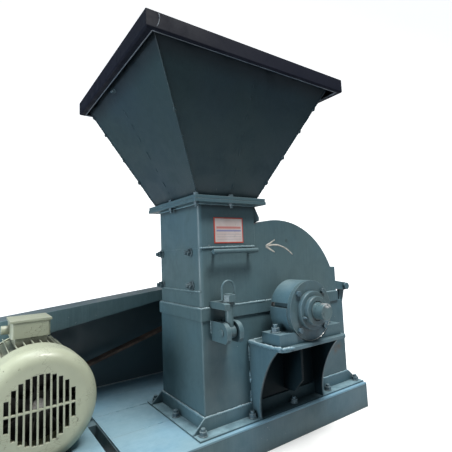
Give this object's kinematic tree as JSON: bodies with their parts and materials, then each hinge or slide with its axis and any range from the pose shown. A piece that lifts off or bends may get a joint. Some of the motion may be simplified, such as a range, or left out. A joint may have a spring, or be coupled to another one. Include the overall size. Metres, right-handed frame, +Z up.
{
  "type": "hammer mill",
  "caption": "Belt-driven hammer mill for grain: welded split casing with hopper on top, swinging-hammer rotor in pillow bearings, motor and belt guard on one steel frame.",
  "frame": {"origin": "centre of the four anchor holes in the base frame, on the floor", "axes": "+X along the frame from the motor end to the casing's hinge end, +Y from the free shaft end to the belt guard, +Z up"},
  "size_m": [1.503, 0.978, 1.431],
  "materials": {
    "machine_paint": "satin slate blue-grey enamel, brushed on",
    "hopper_paint": "satin dark slate enamel",
    "motor_paint": "worn pale grey-green enamel",
    "bare_steel": "machined or mill-scale steel",
    "cast_pulley": "turned cast iron",
    "belt_rubber": "dusty dark brown-black rubber",
    "fan_plastic": "matt",
    "plate": "blank printed plate with a red border"
  },
  "bodies": {
    "base": {"base_frame": "machine_paint", "deck_plates": "machine_paint", "motor_rails": "machine_paint", "lower_casing": "machine_paint", "foot_angles": "machine_paint", "base_bolts": "machine_paint", "bearing_bracket_front": "machine_paint", "bearing_bracket_rear": "machine_paint", "bearing_bases": "machine_paint", "bearing_caps": "machine_paint", "bearing_covers": "machine_paint", "bearing_cover_bolts": "machine_paint", "bearing_foot_bolts": "machine_paint", "grease_nipples": "machine_paint", "bearing_outer_rings": "bare_steel", "screen": "bare_steel", "screen_rails": "bare_steel", "latch_clevis": "machine_paint", "latch_pin": "machine_paint", "hinge_lower_brackets": "machine_paint", "hinge_pins": "machine_paint", "belt_guard": "machine_paint", "drive_belts": "belt_rubber", "motor_frame": "motor_paint", "motor_foot_bolts": "bare_steel", "motor_end_shields": "motor_paint", "motor_stator": "bare_steel", "motor_fan_cowl": "motor_paint", "motor_terminal_box": "motor_paint"},
    "rotor": {"rotor_shaft": "bare_steel", "rotor_discs": "bare_steel", "rotor_spacers": "bare_steel", "hammer_pins": "bare_steel", "bearing_inner_rings": "bare_steel", "bearing_rollers": "bare_steel", "mill_pulley": "cast_pulley"},
    "hammers_1": {"hammer_row_1": "bare_steel"},
    "hammers_2": {"hammer_row_2": "bare_steel"},
    "hammers_3": {"hammer_row_3": "bare_steel"},
    "hammers_4": {"hammer_row_4": "bare_steel"},
    "upper_half": {"upper_casing": "machine_paint", "split_band": "machine_paint", "casing_liner": "bare_steel", "wear_plate": "bare_steel", "wear_plate_bolts": "machine_paint", "inlet_neck": "machine_paint", "neck_flange": "machine_paint", "hopper_flange": "machine_paint", "flange_bolts": "machine_paint", "hopper_shell": "hopper_paint", "hopper_rim": "hopper_paint", "neck_handle": "machine_paint", "data_plate": "plate", "latch_lug": "machine_paint", "hinge_upper_lugs": "machine_paint"},
    "latch_bolt": {"swing_bolt": "bare_steel"},
    "latch_handle": {"latch_nut": "machine_paint"},
    "motor_rotor": {"motor_shaft": "bare_steel", "motor_fan": "fan_plastic", "motor_pulley": "cast_pulley"}
  },
  "joints": [
    {"name": "rotor_spin", "type": "hinge", "parent": "base", "child": "rotor", "pos_m": [0.302, -0.167, 0.496], "axis": [0, 1, 0], "continuous": true},
    {"name": "motor_spin", "type": "hinge", "parent": "base", "child": "motor_rotor", "pos_m": [-0.582, 0.065, 0.285], "axis": [0, 1, 0], "continuous": true},
    {"name": "hammer_swing_1", "type": "hinge", "parent": "rotor", "child": "hammers_1", "pos_m": [0.46889, -0.167, 0.56343], "axis": [0, 1, 0], "range_deg": [-90, 90]},
    {"name": "hammer_swing_2", "type": "hinge", "parent": "rotor", "child": "hammers_2", "pos_m": [0.23457, -0.167, 0.66289], "axis": [0, 1, 0], "range_deg": [-90, 90]},
    {"name": "hammer_swing_3", "type": "hinge", "parent": "rotor", "child": "hammers_3", "pos_m": [0.13511, -0.167, 0.42857], "axis": [0, 1, 0], "range_deg": [-90, 90]},
    {"name": "hammer_swing_4", "type": "hinge", "parent": "rotor", "child": "hammers_4", "pos_m": [0.36943, -0.167, 0.32911], "axis": [0, 1, 0], "range_deg": [-90, 90]},
    {"name": "casing_open", "type": "hinge", "parent": "base", "child": "upper_half", "pos_m": [0.73, -0.167, 0.544], "axis": [0, 1, 0], "range_deg": [0, 90]},
    {"name": "latch_swing", "type": "hinge", "parent": "base", "child": "latch_bolt", "pos_m": [-0.0075, -0.401, 0.447], "axis": [1, 0, 0], "range_deg": [0, 110]},
    {"name": "latch_turn", "type": "hinge", "parent": "latch_bolt", "child": "latch_handle", "pos_m": [-0.0075, -0.401, 0.556], "axis": [0, 0, 1], "range_deg": [0, 720]}
  ],
  "couplings": [
    {"joint": "motor_spin", "follows": "rotor_spin", "ratio": 0.625}
  ]
}
